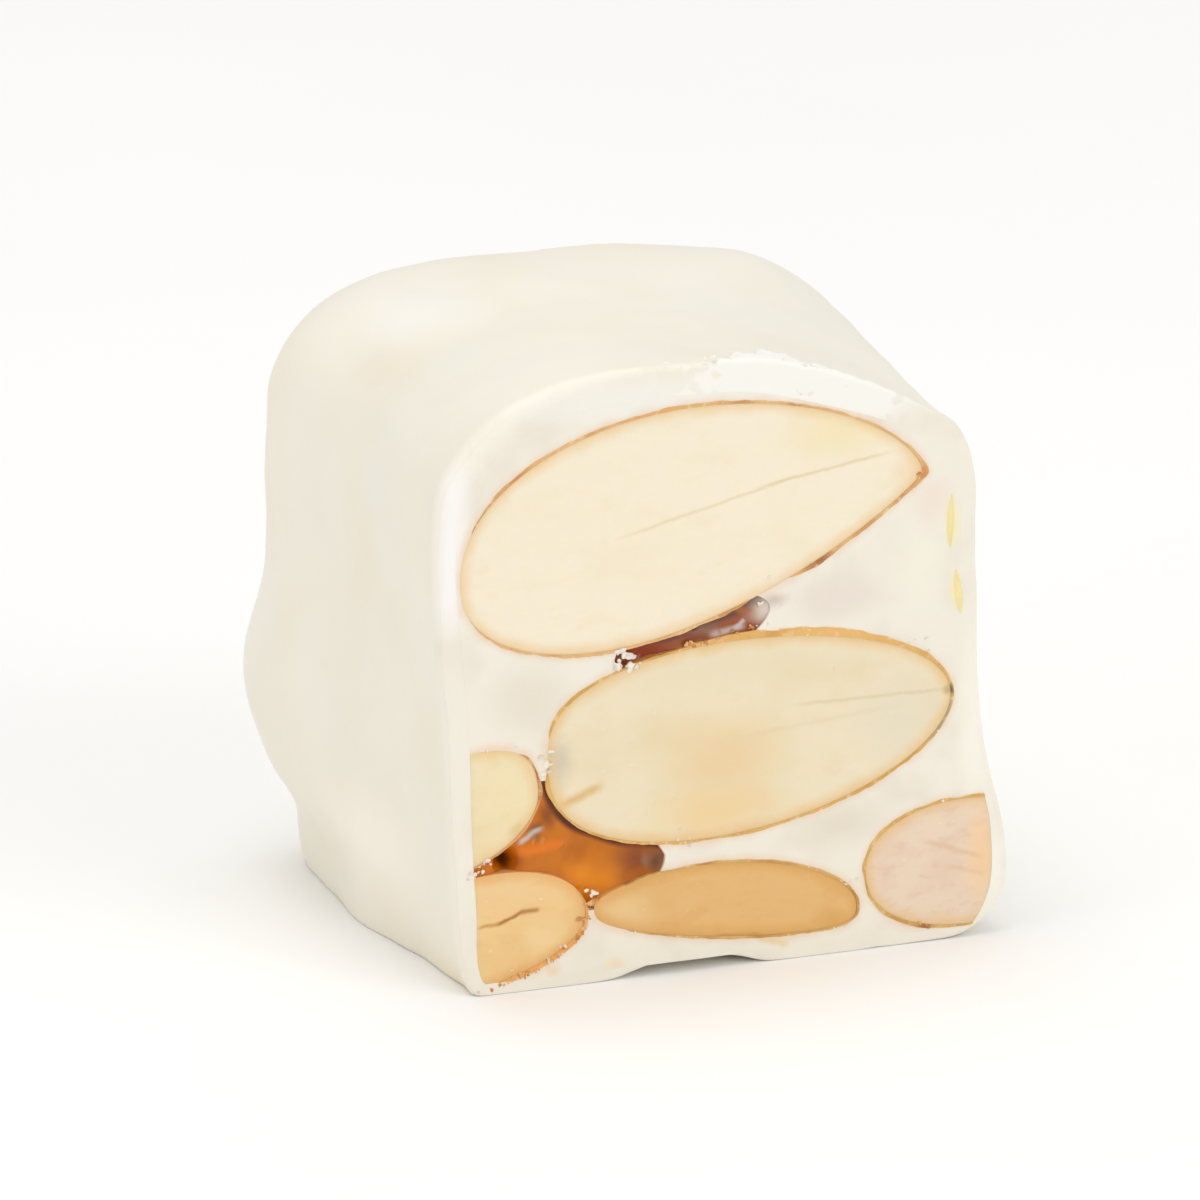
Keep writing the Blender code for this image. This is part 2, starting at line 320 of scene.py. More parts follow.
def lip(point):
    """How much of the lip is there, 0 to 1, that the saw smeared back over the upper edge."""
    flat = Vector((point.x, 0, point.z))
    along = math.exp(-((point.x / MM - 15.3) / 4.4) ** 2)
    ragged = 1.7 * grain(flat, 1.4, 5.0) + 1.6 * grain(flat, 0.5, 9.0)
    back = (0.2 + 1.1 * along + (0.3 + 0.7 * along) * ragged) * MM
    over = smoothstep((back - point.y) / (0.16 * MM) + 0.5)
    top = smoothstep((point.z / MM - 21.5) / 2.5)
    return top * over * (0.15 + 0.85 * along)


def shape_coat(bm):
    """Moves the surface out and in: the lumps, the coat's slow waves and the sawn lip."""
    bm.normal_update()
    moves = []
    for vert in bm.verts:
        point = vert.co
        height = sum(lump.at(point) for lump in COAT_LUMPS)
        height += sum(lump.at(point) for lump in COAT_RIPPLES)
        height += (0.13 * grain(point, 5.2, 1.0) + 0.05 * grain(point, 2.1, 2.0)
                   + 0.008 * grain(point, 0.7, 4.0) - 0.08) * MM
        height += 0.2 * lip(point) * MM
        away = Vector((point.x - AXIS_X, 0, point.z - AXIS_Z))
        deep = smoothstep(point.y / (5 * MM))
        direction = vert.normal * deep + away.normalized() * (1 - deep)
        moves.append(direction * height)
    for vert, move in zip(bm.verts, moves):
        vert.co += move


def sink_slice(bm, lift=0.0):
    """Gives the face at the slice its sawn relief, fading out behind it."""
    for vert in bm.verts:
        fade = max(1 - vert.co.y / SLICE_FADE, 0.0)
        vert.co.y += (slice_relief(vert.co.x, vert.co.z) - lift) * fade


def block_form(through, across=BLOCK_ACROSS, grow=0.0):
    """The block inside the coat. Where it is to cut through the slice, it runs on in front."""
    bm = piece_form(across, BLOCK_DEEP, DEPTH - COAT_BACK + grow,
                    lambda angle: coat_thickness(angle) - grow, 1.0)
    settle(bm, COAT_BASE - grow, 0.05 * MM)
    if through:
        for vert in bm.verts:
            if vert.co.y < 1e-7:
                vert.co.y = -BLOCK_RUN_ON
    return bm


def end_profile(along, blunt, narrow):
    widest = blunt / (blunt + narrow)
    return (along / widest) ** blunt * ((1 - along) / (1 - widest)) ** narrow


def seed_form(seed, fineness, skin=None, grow=0.0):
    """A whole seed, moved out by grow all round and then by skin(point)."""
    sides, rings = fineness
    blunt_end = Vector((seed.blunt_end[0], 0, seed.blunt_end[1])) * MM
    tip = Vector((seed.tip[0], 0, seed.tip[1])) * MM
    lengthwise = (tip - blunt_end).normalized()
    upwards = Vector((-lengthwise.z, 0, lengthwise.x))
    if upwards.z < 0:
        upwards = -upwards
    start = blunt_end - lengthwise * grow
    length = (tip - blunt_end).length + 2 * grow
    bm = bmesh.new()
    bmesh.ops.create_uvsphere(bm, u_segments=sides, v_segments=rings, radius=1.0)
    for vert in bm.verts:
        along = min(max((1 - vert.co.z) / 2, 0.0), 1.0)
        ring = math.hypot(vert.co.x, vert.co.y)
        if ring < 1e-6:
            vert.co = start + lengthwise * (length * round(along))
            continue
        side = vert.co.x / ring
        rise = vert.co.y / ring
        height, blunt, narrow = seed.upper if rise >= 0 else seed.lower
        profile = end_profile(along, blunt, narrow)
        middle = end_profile(along, seed.lower[1], seed.lower[2])
        vert.co = (start + lengthwise * (length * along)
                   + upwards * (rise * (height * MM + grow) * profile)
                   + Vector((0, side * (seed.half_width * MM + grow) * middle, 0)))
        if abs(side) < 1e-5:
            vert.co.y = 0.0
    face_out(bm)
    if skin:
        bm.normal_update()
        moves = [vert.normal * skin(vert.co) for vert in bm.verts]
        for vert, move in zip(bm.verts, moves):
            flat = abs(vert.co.y) < 1e-9
            vert.co += move
            if flat:
                vert.co.y = 0.0
    return bm


def open_seed(bm, lift=0.0, hollow=None):
    """Cuts a seed open at the slice. lift brings the cut towards the camera, and
    hollow(x, z) sinks it."""
    for vert in bm.verts:
        vert.co.y = max(vert.co.y, 0.0)
    for vert in bm.verts:
        sunk = slice_relief(vert.co.x, vert.co.z) - lift
        if hollow:
            sunk += hollow(vert.co.x, vert.co.z)
            fade = max(1 - vert.co.y / HOLLOW_FADE, 0.0)
        else:
            fade = max(1 - vert.co.y / SLICE_FADE, 0.0)
        vert.co.y += sunk * fade
    return bm


def face_out(bm):
    bmesh.ops.recalc_face_normals(bm, faces=bm.faces[:])
    if bm.calc_volume(signed=True) < 0:
        bmesh.ops.reverse_faces(bm, faces=bm.faces[:])


def new_piece(name, bm, material=None):
    face_out(bm)
    mesh = bpy.data.meshes.new(name)
    bm.to_mesh(mesh)
    bm.free()
    piece = bpy.data.objects.new(name, mesh)
    bpy.context.scene.collection.objects.link(piece)
    mesh.shade_smooth()
    mesh.set_sharp_from_angle(angle=SHARP_EDGE)
    if material:
        mesh.materials.append(material)
    return piece


def combine(piece, bm, operation):
    """Cuts a piece with another closed form, and applies the result."""
    cutter = new_piece("cutter", bm)
    cut = piece.modifiers.new("cut", "BOOLEAN")
    cut.operation = operation
    cut.solver = "MANIFOLD"
    cut.object = cutter
    bpy.context.view_layer.update()
    graph = bpy.context.evaluated_depsgraph_get()
    result = bpy.data.meshes.new_from_object(piece.evaluated_get(graph), depsgraph=graph)
    before = len(piece.data.vertices)
    piece.modifiers.clear()
    old = piece.data
    piece.data = result
    bpy.data.meshes.remove(old)
    old = cutter.data
    bpy.data.objects.remove(cutter)
    bpy.data.meshes.remove(old)
    if len(result.vertices) == before:
        print("no change by", operation, "on", piece.name)


def finish_piece(piece, slot_name, *nodes):
    """Moves a mesh to its place in the row frame and hands it to the frame."""
    piece.data.transform(Matrix.Translation(SLICE_CORNER))
    piece.data.shade_smooth()
    piece.data.set_sharp_from_angle(angle=SHARP_EDGE)
    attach(piece, "root")
    if nodes:
        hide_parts(*nodes)


# ---------------------------------------------------------------- materials


def linear(channel):
    if channel <= 0.04045:
        return channel / 12.92
    return ((channel + 0.055) / 1.055) ** 2.4


def colour(code):
    """An sRGB hex colour as the linear one that a shader takes."""
    channels = [linear(int(code[i:i + 2], 16) / 255) for i in (0, 2, 4)]
    return (*channels, 1.0)


def add_node(tree, kind, inputs=(), **settings):
    """Adds a node with its settings, and sets or links the inputs given as (socket, value)."""
    node = tree.nodes.new(kind)
    for name, value in settings.items():
        setattr(node, name, value)
    for socket, value in inputs:
        if isinstance(value, bpy.types.NodeSocket):
            tree.links.new(value, node.inputs[socket])
        else:
            node.inputs[socket].default_value = value
    return node


def new_material(name):
    material = bpy.data.materials.new(name)
    material.use_nodes = True
    tree = material.node_tree
    tree.nodes.clear()
    place = add_node(tree, "ShaderNodeTexCoord").outputs["Object"]
    shader = add_node(tree, "ShaderNodeBsdfPrincipled")
    add_node(tree, "ShaderNodeOutputMaterial", [("Surface", shader.outputs[0])])
    return material, tree, place, shader


def speckle(tree, place, size, detail=2.0, stretch=(1, 1, 1)):
    """Noise from 0 to 1 with features of a size in mm, longer where stretch is smaller."""
    if stretch != (1, 1, 1):
        place = add_node(tree, "ShaderNodeMapping", [(0, place), ("Scale", stretch)]).outputs[0]
    scale = 1 / (size * MM)
    return add_node(tree, "ShaderNodeTexNoise",
                    [("Vector", place), ("Scale", scale), ("Detail", detail)]).outputs[0]


def between(tree, value, low, high):
    """1 where the value is at high and 0 where it is at low, with a soft change."""
    return add_node(tree, "ShaderNodeMapRange",
                    [("Value", value), ("From Min", low), ("From Max", high)],
                    interpolation_type="SMOOTHSTEP").outputs[0]


def blend(tree, under, over, share, mode="MIX"):
    """One colour over another. Sockets 6 and 7 are the mix node's colours."""
    return add_node(tree, "ShaderNodeMix", [(0, share), (6, under), (7, over)],
                    data_type="RGBA", blend_type=mode).outputs[2]


def times(tree, a, b):
    return add_node(tree, "ShaderNodeMath", [(0, a), (1, b)], operation="MULTIPLY").outputs[0]


def spot(tree, place, centre, radii, core=0.0):
    """A soft round mark at a place given from the slice's corner, in mm: 1 within its core."""
    middle = Vector(centre) * MM + SLICE_CORNER
    away = add_node(tree, "ShaderNodeVectorMath", [(0, place), (1, middle)],
                    operation="SUBTRACT").outputs[0]
    scaled = add_node(tree, "ShaderNodeVectorMath",
                      [(0, away), (1, [1 / (radius * MM) for radius in radii])],
                      operation="MULTIPLY").outputs[0]
    length = add_node(tree, "ShaderNodeVectorMath", [(0, scaled)],
                      operation="LENGTH").outputs["Value"]
    return between(tree, length, 1.0, core)


def stroke(tree, place, start, end, width):
    """A soft line between two places in the slice, given from its corner in mm, that fades out
    towards both."""
    first = Vector((start[0], 0, start[1])) * MM + SLICE_CORNER
    run = Vector((end[0] - start[0], 0, end[1] - start[1])) * MM
    offset = add_node(tree, "ShaderNodeVectorMath", [(0, place), (1, first)],
                      operation="SUBTRACT").outputs[0]
    offset = add_node(tree, "ShaderNodeVectorMath", [(0, offset), (1, (1, 0, 1))],
                      operation="MULTIPLY").outputs[0]
    dot = add_node(tree, "ShaderNodeVectorMath", [(0, offset), (1, run / run.length_squared)],
                   operation="DOT_PRODUCT").outputs["Value"]
    share = add_node(tree, "ShaderNodeMath", [(0, dot), (1, 1.0)], operation="MULTIPLY",
                     use_clamp=True).outputs[0]
    nearest = add_node(tree, "ShaderNodeVectorMath", [(0, run), ("Scale", share)],
                       operation="SCALE").outputs[0]
    gap = add_node(tree, "ShaderNodeVectorMath", [(0, offset), (1, nearest)],
                   operation="DISTANCE").outputs["Value"]
    from_middle = add_node(tree, "ShaderNodeMath", [(0, share), (1, 0.5)], operation="SUBTRACT")
    from_middle = add_node(tree, "ShaderNodeMath", [(0, from_middle.outputs[0])],
                           operation="ABSOLUTE").outputs[0]
    return times(tree, between(tree, gap, width * MM, 0.0), between(tree, from_middle, 0.5, 0.25))


def roughen(tree, shader, *layers):
    """Bumps of given heights in mm, one on the other, from the coarsest to the finest."""
    normal = None
    for height, distance in layers:
        inputs = [("Height", height), ("Distance", distance * MM)]
        if normal:
            inputs.append(("Normal", normal))
        normal = add_node(tree, "ShaderNodeBump", inputs).outputs[0]
    tree.links.new(normal, shader.inputs["Normal"])


def set_shader(tree, shader, base, roughness, **values):
    if isinstance(base, bpy.types.NodeSocket):
        tree.links.new(base, shader.inputs["Base Color"])
    else:
        shader.inputs["Base Color"].default_value = base
    if isinstance(roughness, bpy.types.NodeSocket):
        tree.links.new(roughness, shader.inputs["Roughness"])
    else:
        shader.inputs["Roughness"].default_value = roughness
    for name, value in values.items():
        shader.inputs[name.replace("_", " ")].default_value = value


def shaken(tree, place, size, amount):
    """The place moved about in the slice by noise of a size and by an amount, both in mm."""
    noisy = add_node(tree, "ShaderNodeTexNoise", [("Vector", place), ("Scale", 1 / (size * MM))])
    off = add_node(tree, "ShaderNodeVectorMath",
                   [(0, noisy.outputs["Color"]), (1, (0.5, 0.5, 0.5))],
                   operation="SUBTRACT").outputs[0]
    return add_node(tree, "ShaderNodeVectorMath",
                    [(0, off), (1, (amount * MM, 0, amount * MM)), (2, place)],
                    operation="MULTIPLY_ADD").outputs[0]


def paint(tree, place, tone, patches, marks=()):
    """Lays soft patches and then lines over a tone, a little uneven. A patch is its colour, its
    centre and radii in the slice and its share, and a line its colour, start, end, width and
    share."""
    uneven = shaken(tree, place, 1.4, 0.9)
    for code, (x, z), (across, up), share in patches:
        tint = spot(tree, uneven, (x, 0, z), (across, 4.0, up))
        tone = blend(tree, tone, colour(code), times(tree, tint, share))
    uneven = shaken(tree, place, 0.5, 0.16)
    for code, start, end, width, share in marks:
        line = stroke(tree, uneven, start, end, width)
        tone = blend(tree, tone, colour(code), times(tree, line, share))
    return tone


def rim_tint(tree, place, reach):
    """1 beside an almond's rim, dying out at a reach in mm."""
    rim = add_node(tree, "ShaderNodeAttribute", attribute_name="rim_mm").outputs["Fac"]
    uneven = add_node(tree, "ShaderNodeMath", [(0, speckle(tree, place, 1.1)), (1, 0.5), (2, rim)],
                      operation="MULTIPLY_ADD").outputs[0]
    return between(tree, uneven, 0.25 + reach, 0.22)


# Patches in the slice: painted highlights along its top and right edges, a lighter and some darker
# patches inside, and pinkish tints.
SLICE_TINTS_AND_HIGHLIGHTS = (
    ("E6DDCC", (3.4, 12.7), (3.0, 2.4), 0.8), ("E8DCD1", (17.3, 15.6), (3.8, 1.8), 0.8),
    ("E2D8C6", (17.4, 5.7), (3.2, 1.8), 0.8), ("F5F0DE", (20.8, 16.5), (1.8, 2.6), 0.5),
    ("F2EFE5", (8.0, 25.0), (9.5, 1.3), 0.9), ("F5F1E7", (18.0, 24.4), (6.0, 1.2), 0.8),
    ("F8F4E8", (23.5, 9.0), (1.0, 7.0), 0.8), ("F8F4EA", (24.4, 3.0), (1.4, 4.0), 0.9),
    ("EFD9CC", (21.4, 19.4), (1.6, 1.8), 0.5),
)
# Painted highlights along the slice's left edge.
SLICE_RIM_HIGHLIGHTS = (
    ("F1EBDE", (0.2, 0.5), (-0.3, 16.0), 1.2, 1.0),
    ("F8F5F0", (-0.4, 15.0), (0.2, 24.0), 1.2, 1.0),
)


def sawn_tooth(tree, place, shader):
    """The faint waves and the fine tooth of white chocolate and filling."""
    roughen(tree, shader, (speckle(tree, place, 1.6, 2.0), 0.03),
            (speckle(tree, place, 0.22, 3.0), 0.006))


def sawn_white(tree, place):
    """The slice's white, alike in coat and filling: with painted highlights along its edges, darker
    in patches inside.
    """
    tone = blend(tree, colour("F1EBDC"), colour("EAE2D3"),
                 between(tree, speckle(tree, place, 2.8), 0.45, 0.75))
    return paint(tree, place, tone, SLICE_TINTS_AND_HIGHLIGHTS, SLICE_RIM_HIGHLIGHTS)


def white_chocolate():
    """Poured white chocolate: ivory, satin and waxy, and matte where the saw went through."""
    material, tree, place, shader = new_material("poured_white_chocolate")
    tone = blend(tree, colour("EEE8D9"), colour("ECE3CF"),
                 between(tree, speckle(tree, place, 6.0, 3.0), 0.35, 0.8))
    tone = blend(tree, tone, colour("E8E5D8"),
                 between(tree, speckle(tree, place, 9.0, 3.0), 0.35, 0.85))
    warm = spot(tree, shaken(tree, place, 3.0, 2.0), (1.2, 10.5, 24.6), (2.6, 4.0, 2.4))
    tone = blend(tree, tone, colour("EBDDC8"), times(tree, warm, 0.5))
    # A painted highlight on the top, towards its left.
    painted_highlight = spot(tree, shaken(tree, place, 3.0, 2.0), (3.8, 13.5, 26.0), (4.2, 4.6, 2.6))
    tone = blend(tree, tone, colour("F5F2EC"), times(tree, painted_highlight, 0.7))
    low = spot(tree, place, (-0.6, 8.5, 4.5), (3.0, 7.0, 4.0))
    tone = blend(tree, tone, colour("F8F0E2"), times(tree, low, 0.7))
    foot = spot(tree, place, (1.0, 2.0, 0.0), (3.5, 5.0, 2.5))
    tone = blend(tree, tone, colour("F1E2C0"), times(tree, foot, 0.6))
    depth = add_node(tree, "ShaderNodeSeparateXYZ", [(0, place)]).outputs["Y"]
    sawn = between(tree, depth, SLICE_CORNER.y + 1.1 * MM, SLICE_CORNER.y + 0.15 * MM)
    tone = blend(tree, tone, sawn_white(tree, place), sawn)
    smear = add_node(tree, "ShaderNodeAttribute", attribute_name="lip").outputs["Fac"]
    tone = blend(tree, tone, colour("F6F4EC"), between(tree, smear, 0.15, 0.5))
    satin = add_node(tree, "ShaderNodeMapRange",
                     [("Value", speckle(tree, place, 2.5, 3.0)), ("To Min", 0.34),
                      ("To Max", 0.5)]).outputs[0]
    rough = add_node(tree, "ShaderNodeMix", [("Factor", sawn), ("A", satin), ("B", 0.55)])
    set_shader(tree, shader, tone, rough.outputs[0], IOR=1.46)
    sawn_tooth(tree, place, shader)
    return material


def white_filling():
    """Sawn white filling: matte and finely crumbly, pinkish beige beside the almonds."""
    material, tree, place, shader = new_material("sawn_white_filling")
    tone = paint(tree, place, sawn_white(tree, place), (
        ("F3D6AC", (7.27, 0.7), (0.6, 0.45), 0.6), ("F0CDA0", (4.31, 0.75), (0.6, 0.5), 0.6),
        ("F4E9BE", (22.34, 18.3), (0.55, 1.8), 0.85), ("F4E9BE", (22.7, 15.2), (0.55, 1.6), 0.85),
        ("CDB9AE", (14.3, 15.7), (1.0, 0.6), 0.8), ("EFD2C6", (20.6, 0.9), (1.8, 0.6), 0.5),
    ), (("EAD39A", (13.4, 1.2), (15.2, 0.55), 0.3, 0.8),))
    tone = blend(tree, tone, colour("EBCBAE"), times(tree, rim_tint(tree, place, 0.5), 0.6))
    set_shader(tree, shader, tone, 0.55, IOR=1.45)
    sawn_tooth(tree, place, shader)
    return material


def almond_flesh(name, base, shade, soaked, marks=(), patches=(), grit=0.25):
    """Cut almond: fine-grained, dry and a little oily, soaked beside its skin. marks are lines
    and patches tints."""
    material, tree, place, shader = new_material(name)
    tone = blend(tree, colour(base), colour(shade),
                 between(tree, speckle(tree, place, 2.8, 3.0, (0.6, 1, 1)), 0.45, 0.85))
    mottle = between(tree, speckle(tree, place, 0.9, 3.0, (0.6, 1, 1)), 0.5, 0.75)
    tone = blend(tree, tone, colour(shade), times(tree, mottle, 0.45))
    fibres = between(tree, speckle(tree, place, 0.3, 3.0, (0.4, 1, 1)), 0.5, 0.8)
    tone = blend(tree, tone, colour(shade), times(tree, fibres, grit))
    tone = paint(tree, place, tone, patches, marks)
    flecks = between(tree, speckle(tree, place, 0.35, 3.0, (0.6, 1, 1)), 0.66, 0.8)
    tone = blend(tree, tone, colour("FBF4E4"), times(tree, flecks, 0.4))
    tone = blend(tree, tone, colour(soaked), times(tree, rim_tint(tree, place, 0.65), 0.75))
    set_shader(tree, shader, tone, 0.5, IOR=1.46, Subsurface_Weight=0.3,
               Subsurface_Radius=(1.0, 0.75, 0.45), Subsurface_Scale=0.4 * MM)
    roughen(tree, shader, (speckle(tree, place, 0.8, 2.0, (0.4, 1, 1)), 0.015),
            (speckle(tree, place, 0.1, 3.0), 0.006))
    return material


def caramel_film(name, light, dark, patches=()):
    """Thin cooked caramel round a nut: amber where thin, brown where thick, half glossy, with
    pale specks painted in as glints."""
    material, tree, place, shader = new_material(name)
    tone = blend(tree, colour(light), colour(dark),
                 between(tree, speckle(tree, place, 1.5, 3.0), 0.42, 0.7))
    tone = paint(tree, place, tone, patches)
    # Painted glints: pale specks over the film.
    painted_glints = between(tree, speckle(tree, place, 0.35), 0.55, 0.7)
    tone = blend(tree, tone, colour("F8DDA8"), times(tree, painted_glints, 0.45))
    set_shader(tree, shader, tone, 0.35, IOR=1.48, Subsurface_Weight=0.2,
               Subsurface_Radius=(1.0, 0.5, 0.15), Subsurface_Scale=0.2 * MM)
    roughen(tree, shader, (speckle(tree, place, 0.18, 3.0), 0.02))
    return material


def boiled_caramel(name, light, dark, shadow, patches, marks):
    """Boiled sugar caramel: clear amber, deep brown where thick, with a painted shadow under the
    almond above it, and a wet gloss."""
    material, tree, place, shader = new_material(name)
    tone = blend(tree, colour(light), colour(dark),
                 between(tree, speckle(tree, place, 2.0, 2.0), 0.45, 0.8))
    rim = add_node(tree, "ShaderNodeAttribute", attribute_name="rim_mm").outputs["Fac"]
    # Painted shadow: darker within reach of the almond above.
    tone = blend(tree, tone, colour(shadow), between(tree, rim, 0.48, 0.2))
    tone = paint(tree, place, tone, patches, marks)
    set_shader(tree, shader, tone, 0.08, IOR=1.49, Specular_IOR_Level=0.3)
    roughen(tree, shader, (speckle(tree, place, 0.9, 1.0), 0.08))
    return material


def plain_crumb(name, light, dark, roughness):
    """Crumbs of what was sawn, paler where they catch the light."""
    material, tree, place, shader = new_material(name)
    tone = blend(tree, colour(light), colour(dark),
                 between(tree, speckle(tree, place, 0.4, 1.0), 0.4, 0.6))
    set_shader(tree, shader, tone, roughness, IOR=1.46)
    return material


def pale_floor():
    """Seamless studio paper: matte, with a faint tooth."""
    material, tree, place, shader = new_material("studio_paper")
    tone = blend(tree, colour("FBFAF8"), colour("F7F6F4"), speckle(tree, place, 40.0, 2.0))
    set_shader(tree, shader, tone, 0.8, IOR=1.4)
    return material


# ---------------------------------------------------------------- making the piece


def make_coat():
    bm = piece_form(COAT_ACROSS, COAT_DEEP, DEPTH, lambda angle: 0.0, 1.3, rim_radius)
    shape_coat(bm)
    settle(bm, 0.0, 0.12 * MM)
    sink_slice(bm)
    coat = new_piece("white_chocolate_coat", bm, white_chocolate())
    combine(coat, block_form(through=True, across=HOLLOW_ACROSS), "DIFFERENCE")
    smear = coat.data.attributes.new("lip", "FLOAT", "POINT")
    for vert in coat.data.vertices:
        smear.data[vert.index].value = lip(vert.co)
    finish_piece(coat, "white_chocolate", "coat")


# The caramel film's thickness in mm, then where it is thicker or missing
SKINS = {
    "almond_top": (0.11, (
        Lump((0.2, 0, 18.2), 1.7, -0.5), Lump((16.3, 0, 17.45), 0.9, 0.15),
        Lump((14.2, 0, 16.2), 1.0, -0.3), Lump((20.9, 0, 20.5), 0.6, 0.14),
        Lump((3.0, 0, 22.0), 1.4, 0.04), Lump((10.5, 0, 24.0), 2.5, 0.05),
    )),
    "almond_middle": (0.1, (
        Lump((4.1, 0, 8.7), 0.6, 0.12),
        Lump((17.0, 0, 14.1), 2.9, 0.3), Lump((12.6, 0, 14.1), 1.7, 0.18),
        Lump((21.2, 0, 12.6), 1.2, 0.07), Lump((4.2, 0, 10.2), 0.7, -0.2),
        Lump((5.2, 0, 12.4), 1.4, 0.05),
    )),
    "almond_left": (0.06, (
        Lump((1.5, 0, 11.2), 1.5, -0.3), Lump((3.5, 0, 10.4), 0.5, 0.14),
        Lump((3.9, 0, 8.7), 0.6, 0.12),
        Lump((3.0, 0, 6.6), 1.2, 0.06),
    )),
    "almond_lower_left": (0.05, (
        Lump((2.5, 0, 5.8), 2.6, -0.3), Lump((5.4, 0, 2.0), 1.1, 0.2),
        Lump((3.6, 0, 1.0), 1.3, 0.14), Lump((1.6, 0, 0.6), 1.3, 0.12),
    )),
    "almond_bottom": (0.08, (
        Lump((14.5, 0, 4.4), 2.5, 0.05), Lump((17.8, 0, 2.2), 0.9, 0.05),
        Lump((6.4, 0, 3.2), 1.5, -0.2), Lump((12.6, 0, 0.9), 1.2, 0.05),
    )),
    "almond_right": (0.11, (Lump((20.6, 0, 0.6), 0.9, 0.08), Lump((19.0, 0, 5.0), 1.5, 0.03))),
}


def skin_thickness(name):
    base, lumps = SKINS[name]

    def thickness(point):
        flat = Vector((point.x, 0, point.z))
        uneven = 1 + 0.5 * grain(flat, 1.1, 11.0) + 0.45 * grain(flat, 0.4, 12.0)
        return base * uneven * MM + sum(lump.at(flat) for lump in lumps)

    return thickness


def fineness_of(name):
    return LARGE_SEED if name in ("almond_top", "almond_middle") else SMALL_SEED


def socket(name):
    """The space that an almond takes with its caramel skin."""
    thickness = skin_thickness(name)
    return seed_form(ALMONDS[name], fineness_of(name), lambda point: max(thickness(point), 0.0))


def rim_points(name, fineness):
    """Places along an almond's outline in the slice, with the way outwards."""
    bm = seed_form(ALMONDS[name], fineness)
    bm.normal_update()
    points = [(vert.co.copy(), vert.normal.copy()) for vert in bm.verts if abs(vert.co.y) < 1e-7]
    bm.free()
    return points


def measure_rim(piece, *names):
    """Gives each vertex its distance in mm from the nearest of these almonds' outlines."""
    rims = [place for name in names for place, _ in rim_points(name, fineness_of(name))]
    tree = KDTree(len(rims))
    for index, place in enumerate(rims):
        tree.insert(place, index)
    tree.balance()
    distance = piece.data.attributes.new("rim_mm", "FLOAT", "POINT")
    for vert in piece.data.vertices:
        behind = max(vert.co.y - RIM_BAND, 0.0)
        place = Vector((vert.co.x, behind, vert.co.z))
        distance.data[vert.index].value = tree.find(place)[2] / MM


def make_almond(name, material, slot_name, sawn):
    bm = open_seed(seed_form(ALMONDS[name], fineness_of(name)))
    almond = new_piece(name + "_flesh", bm, material)
    if sawn:
        combine(almond, block_form(through=True), "INTERSECT")
    measure_rim(almond, name)
    finish_piece(almond, slot_name, name)


def make_skin(name, material, sawn):
    bm = open_seed(seed_form(ALMONDS[name], fineness_of(name), skin_thickness(name)),
                   lift=SKIN_LIFT)
    skin = new_piece(name + "_skin", bm, material)
    combine(skin, seed_form(ALMONDS[name], fineness_of(name)), "DIFFERENCE")
    if sawn:
        combine(skin, block_form(through=True), "INTERSECT")
    finish_piece(skin, "caramel")


def make_filling():
    bm = block_form(through=False, grow=OVERLAP)
    sink_slice(bm, lift=FILLING_LIFT)
    filling = new_piece("white_filling_block", bm, white_filling())
    for name in ALMONDS:
        combine(filling, socket(name), "DIFFERENCE")
    for name, seed in CARAMEL.items():
        combine(filling, seed_form(seed, SMALL_SEED, grow=GAP), "DIFFERENCE")
    measure_rim(filling, *ALMONDS)
    finish_piece(filling, "white_filling", "filling")


POCKET_HOLLOWS = (
    Lump((5.8, 0, 5.0), 1.8, 0.5), Lump((2.4, 0, 5.65), 0.42, 1.3),
    Lump((3.95, 0, 6.14), 0.25, -0.16), Lump((4.76, 0, 6.17), 0.25, -0.16),
    Lump((8.5, 0, 5.2), 0.8, 0.2), Lump((3.7, 0, 6.9), 0.6, 0.3),
)
SEAM_HOLLOWS = (
    Lump((8.4, 0, 14.1), 0.9, 0.5), Lump((10.6, 0, 14.6), 0.8, 0.1),
    Lump((12.6, 0, 15.2), 0.5, -0.15),
)


def make_caramel(name, hollows, material, neighbours):
    def hollow(x, z):
        point = Vector((x, 0, z))
        return 0.08 * MM + 0.05 * MM * grain(point, 0.8, 6.0) + sum(h.at(point) for h in hollows)

    bm = open_seed(seed_form(CARAMEL[name], LARGE_SEED, grow=GAP), hollow=hollow)
    caramel = new_piece(name + "_fill", bm, material)
    for neighbour in neighbours:
        combine(caramel, socket(neighbour), "DIFFERENCE")
    combine(caramel, block_form(through=True), "INTERSECT")
    measure_rim(caramel, neighbours[0])
    finish_piece(caramel, "caramel", name)


def make_slivers():
    """Two thin slips of pale caramel that the saw laid bare near the right edge."""
    material = caramel_film("pale_caramel_slip", "F6E4A6", "F3DC90")
    for number, (low, high) in enumerate((((22.3, 17.15), (22.36, 19.5)),
                                          ((22.8, 14.2), (22.56, 16.2))), 1):
        seed = Seed(low, high, (0.17, 0.8, 0.8), (0.15, 0.9, 0.8), 0.3)
        bm = open_seed(seed_form(seed, (24, 40)), lift=SLIVER_LIFT)
        sliver = new_piece("pale_sliver_%d" % number, bm, material)
        finish_piece(sliver, "caramel")


def crumb(bm, place, size, rng, detail=2):
    """One irregular crumb, half sunk in what it lies on."""
    turn = Matrix.Rotation(rng.uniform(0, 6.28), 4, Vector((rng.random(), rng.random(), 1.0)))
    made = bmesh.ops.create_icosphere(bm, subdivisions=detail, radius=1.0)
    stretch = Vector((rng.uniform(0.8, 1.5), rng.uniform(0.6, 1.0), rng.uniform(0.5, 0.9)))
    shift = rng.uniform(0, 50)
    for vert in made["verts"]:
        bulge = 1 + 0.9 * noise.noise(vert.co * 1.6 + Vector((shift, 0, 0)))
        offset = turn @ (vert.co * stretch * bulge) * size
        offset.y *= 0.6
        vert.co = offset + place
        vert.co.y = max(vert.co.y, 0.0)
        vert.co.z = max(vert.co.z, 0.05 * MM)


